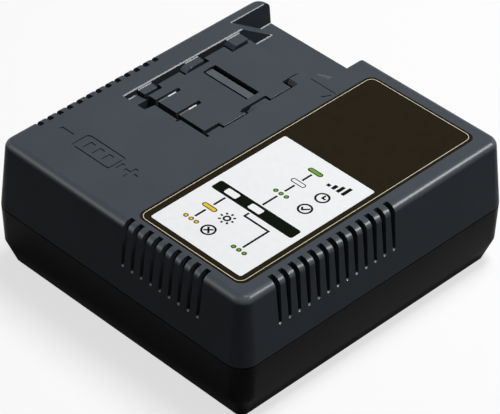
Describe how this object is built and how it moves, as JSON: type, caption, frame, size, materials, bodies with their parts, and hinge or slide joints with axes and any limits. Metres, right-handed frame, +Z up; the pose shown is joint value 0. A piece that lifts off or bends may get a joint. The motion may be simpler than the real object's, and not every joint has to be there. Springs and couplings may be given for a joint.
{
  "type": "power tool battery charger",
  "caption": "Two-piece desk charger with a sunk docking deck, hooked rails and rear bay for a slide-on battery pack, wrap-over cooling slots and a face plate with status windows.",
  "frame": {"origin": "under the middle of the housing, on the plane that the feet stand on", "axes": "+X along the reading direction of the face plate, +Y towards the rear wall with the cord entry and the open end of the dock, +Z up"},
  "size_m": [0.165, 0.1732, 0.0712],
  "materials": {
    "housing_upper": "fine spark-eroded texture, satin",
    "housing_lower": "fine spark-eroded texture, matte",
    "face_plate": "screen-printed polycarbonate, satin",
    "light_guide": "milky, polished",
    "led_chip": "clear resin over phosphor",
    "circuit_board": "solder-resist gloss",
    "ribbon": "satin",
    "carrier": "satin",
    "catch": "satin",
    "contact_metal": "bright tin plating",
    "lead_red": "satin",
    "lead_black": "satin",
    "ferrite": "sintered, matte",
    "bobbin": "phenolic, matte",
    "winding": "enamelled wire under yellow tape",
    "copper_wire": "enamelled copper",
    "can_black": "shrink sleeve, gloss",
    "can_blue": "shrink sleeve, gloss",
    "heat_sink": "extruded, satin",
    "device_black": "moulded epoxy, matte",
    "film_yellow": "moulded case, gloss",
    "fuse_glass": "clear glass with nickel caps",
    "clip_metal": "tinned",
    "connector": "natural nylon",
    "bush_rubber": "matte",
    "foot_rubber": "matte",
    "screw_steel": "zinc plated"
  },
  "bodies": {
    "root": {"top_cover": "housing_upper", "bottom_cover": "housing_lower", "label_plate": "face_plate", "light_guide_left": "light_guide", "light_guide_right": "light_guide", "indicator_led_left": "led_chip", "indicator_led_right": "led_chip", "indicator_board": "circuit_board", "indicator_ribbon": "ribbon", "terminal_holder": "carrier", "positive_blade": "contact_metal", "negative_blade": "contact_metal", "positive_lead": "lead_red", "negative_lead": "lead_black", "latch_stop": "catch", "main_board": "circuit_board", "transformer_core": "ferrite", "transformer_bobbin": "bobbin", "transformer_winding": "winding", "bulk_capacitor": "can_black", "output_capacitor_left": "can_blue", "output_capacitor_right": "can_blue", "primary_heat_sink": "heat_sink", "output_heat_sink": "heat_sink", "power_transistor": "device_black", "output_rectifier": "device_black", "line_choke_core": "ferrite", "line_choke_winding": "copper_wire", "film_capacitor": "film_yellow", "fuse": "fuse_glass", "fuse_clips": "clip_metal", "mains_connector": "connector", "control_chip": "device_black", "cord_grommet": "bush_rubber", "foot_front_left": "foot_rubber", "foot_front_right": "foot_rubber", "foot_rear_left": "foot_rubber", "foot_rear_right": "foot_rubber", "case_screws": "screw_steel", "board_screws": "screw_steel", "holder_screws": "screw_steel", "device_screws": "screw_steel"}
  },
  "joints": []
}
